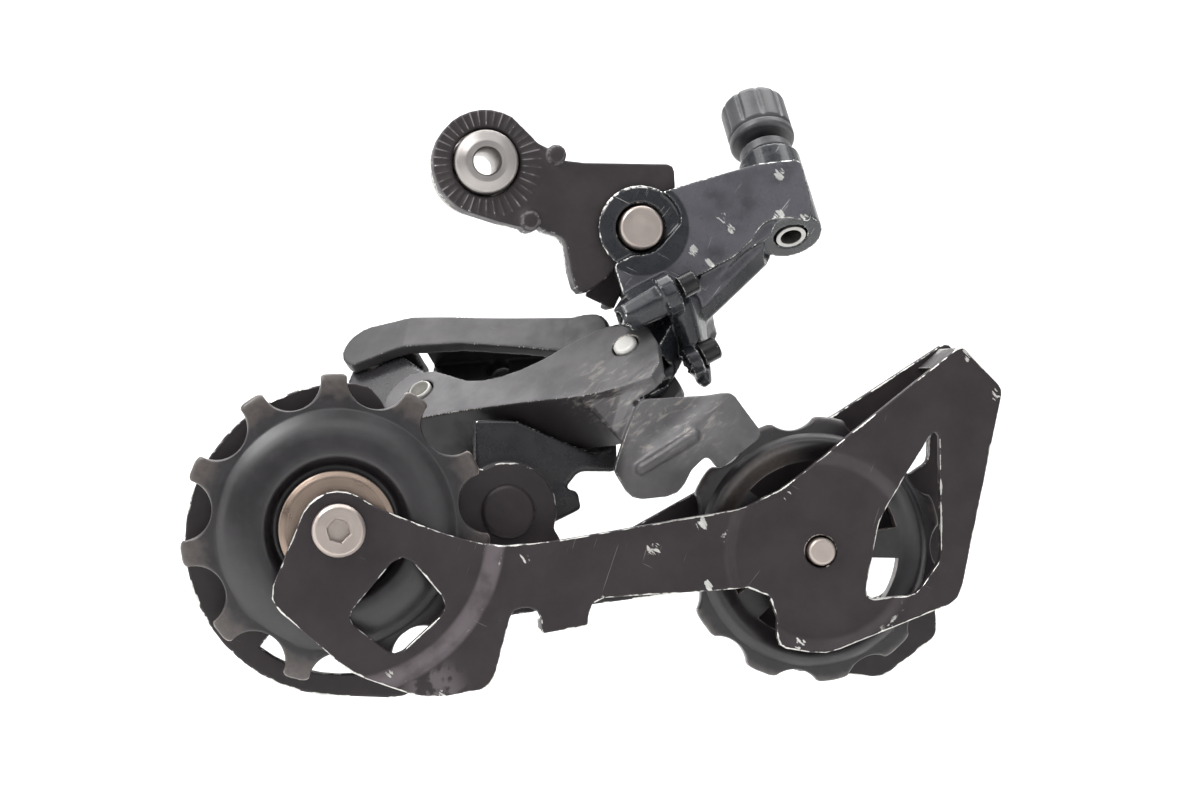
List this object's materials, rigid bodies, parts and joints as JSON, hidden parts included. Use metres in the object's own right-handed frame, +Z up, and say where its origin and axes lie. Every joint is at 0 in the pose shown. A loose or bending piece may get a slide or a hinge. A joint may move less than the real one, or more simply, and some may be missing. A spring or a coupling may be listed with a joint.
{
  "type": "rear derailleur",
  "caption": "Rear bicycle derailleur: a sprung parallelogram on a hanger link carries a swinging cage with two toothed pulleys and a cable adjuster.",
  "frame": {"origin": "axis of the hanger bolt, on the inboard face of the hanger link, which seats on the bicycle's hanger", "axes": "+X to the rear of the bicycle, +Y outboard, away from the wheel, +Z up"},
  "size_m": [0.1244, 0.0544, 0.0969],
  "materials": {
    "matte_black": "matt black coating, worn to bright metal along the sheared edges",
    "gloss_black": "glossy black paint with chips and scratches",
    "worn_grey": "satin dark grey anodised forging, scuffed",
    "plain_steel": "machined steel",
    "nickel": "warm nickel plate, slightly tarnished",
    "spring_steel": "drawn spring wire",
    "bronze": "sintered bronze",
    "resin": "moulded black resin, polished by the chain on the tooth flanks",
    "rubber": "black rubber"
  },
  "bodies": {
    "hanger": {"hanger_link": "matte_black", "stop_plate": "matte_black", "b_axle": "plain_steel", "bolt_stop_ring": "spring_steel"},
    "washer": {"bolt_washer": "plain_steel"},
    "bolt": {"hanger_bolt": "plain_steel"},
    "bracket": {"upper_knuckle": "gloss_black", "b_axle_bush": "bronze", "b_spring": "spring_steel", "b_spring_cover": "matte_black", "b_pivot_seal": "rubber", "adjuster_sleeve": "plain_steel", "inner_pin_upper": "plain_steel", "outer_pin_upper": "plain_steel", "return_spring": "spring_steel"},
    "high_screw": {"high_limit_screw": "gloss_black"},
    "low_screw": {"low_limit_screw": "gloss_black"},
    "b_screw": {"b_tension_screw": "gloss_black"},
    "adjuster": {"adjuster_knob": "resin", "adjuster_barrel": "resin", "adjuster_detent_spring": "spring_steel"},
    "inner_arm": {"inner_link": "worn_grey"},
    "outer_arm": {"outer_link": "worn_grey", "cable_clamp_plate": "plain_steel"},
    "clamp_bolt": {"cable_clamp_bolt": "plain_steel"},
    "pulley_knuckle": {"lower_knuckle": "gloss_black", "p_axle_bush": "bronze", "p_spring": "spring_steel", "p_seal": "rubber", "p_cap": "matte_black", "inner_pin_lower": "plain_steel", "outer_pin_lower": "plain_steel"},
    "cage": {"inner_cage_plate": "matte_black", "outer_cage_plate": "matte_black", "p_axle": "plain_steel", "cage_stop_pin": "plain_steel", "tension_pulley_pin": "plain_steel", "guide_bush": "bronze", "guide_cap_inner": "nickel", "guide_cap_outer": "nickel", "guide_spacer": "plain_steel", "tension_bush": "bronze", "tension_cap_inner": "nickel", "tension_cap_outer": "nickel"},
    "guide_bolt": {"guide_pulley_bolt": "plain_steel"},
    "guide_wheel": {"guide_pulley": "resin"},
    "tension_wheel": {"tension_pulley": "resin"}
  },
  "joints": [
    {"name": "bolt_seating", "type": "slide", "parent": "hanger", "child": "washer", "axis": [0, -1, 0], "range_m": [0, 0.0043]},
    {"name": "bolt_turn", "type": "hinge", "parent": "washer", "child": "bolt", "pos_m": [0, 0, 0], "axis": [0, 1, 0], "continuous": true},
    {"name": "bracket_pivot", "type": "hinge", "parent": "hanger", "child": "bracket", "pos_m": [0.0242, 0, -0.01], "axis": [0, 1, 0], "range_deg": [-25, 0], "stiffness_Nm_per_rad": 0.6, "springref_deg": 60.16, "deforming": ["b_spring"]},
    {"name": "high_limit_turn", "type": "hinge", "parent": "bracket", "child": "high_screw", "pos_m": [0.0306, -0.0084, -0.0192], "axis": [0.89, 0, 0.456], "continuous": true},
    {"name": "low_limit_turn", "type": "hinge", "parent": "bracket", "child": "low_screw", "pos_m": [0.0345, -0.0054, -0.0294], "axis": [0.89, 0, 0.456], "continuous": true},
    {"name": "b_tension_turn", "type": "hinge", "parent": "bracket", "child": "b_screw", "pos_m": [0.0312, 0.0116, -0.025], "axis": [-0.9084, 0, 0.4182], "continuous": true},
    {"name": "adjuster_turn", "type": "hinge", "parent": "bracket", "child": "adjuster", "pos_m": [0.0493, 0.0034, -0.0108], "axis": [-0.0951, 0.5908, 0.8012], "continuous": true},
    {"name": "link_fold", "type": "hinge", "parent": "bracket", "child": "inner_arm", "pos_m": [0.0207, -0.007, -0.0285], "axis": [-0.4798, -0.552, 0.682], "range_deg": [0, 60], "stiffness_Nm_per_rad": 0.6, "springref_deg": -34.38, "deforming": ["return_spring"]},
    {"name": "outer_link_swing", "type": "hinge", "parent": "bracket", "child": "outer_arm", "pos_m": [0.01315, 0.00792, -0.02174], "axis": [-0.4798, -0.552, 0.682], "range_deg": [0, 60]},
    {"name": "clamp_bolt_turn", "type": "hinge", "parent": "outer_arm", "child": "clamp_bolt", "pos_m": [0.00538, 0.02552, -0.03305], "axis": [0.3456, 0.6211, -0.7034], "continuous": true},
    {"name": "knuckle_level", "type": "hinge", "parent": "inner_arm", "child": "pulley_knuckle", "pos_m": [-0.00933, 0.01064, -0.03535], "axis": [-0.4798, -0.552, 0.682], "range_deg": [-60, 0]},
    {"name": "cage_pivot", "type": "hinge", "parent": "pulley_knuckle", "child": "cage", "pos_m": [0.0028, 0, -0.054], "axis": [0, 1, 0], "range_deg": [0, 62], "stiffness_Nm_per_rad": 0.2, "springref_deg": -114.59, "deforming": ["p_spring"]},
    {"name": "guide_bolt_turn", "type": "hinge", "parent": "cage", "child": "guide_bolt", "pos_m": [-0.0236, 0, -0.0561], "axis": [0, 1, 0], "continuous": true},
    {"name": "guide_pulley_spin", "type": "hinge", "parent": "cage", "child": "guide_wheel", "pos_m": [-0.0236, 0, -0.0561], "axis": [0, 1, 0], "continuous": true},
    {"name": "tension_pulley_spin", "type": "hinge", "parent": "cage", "child": "tension_wheel", "pos_m": [0.0494, 0, -0.0599], "axis": [0, 1, 0], "continuous": true}
  ],
  "couplings": [
    {"joint": "outer_link_swing", "follows": "link_fold", "ratio": 1},
    {"joint": "knuckle_level", "follows": "link_fold", "ratio": -1}
  ]
}
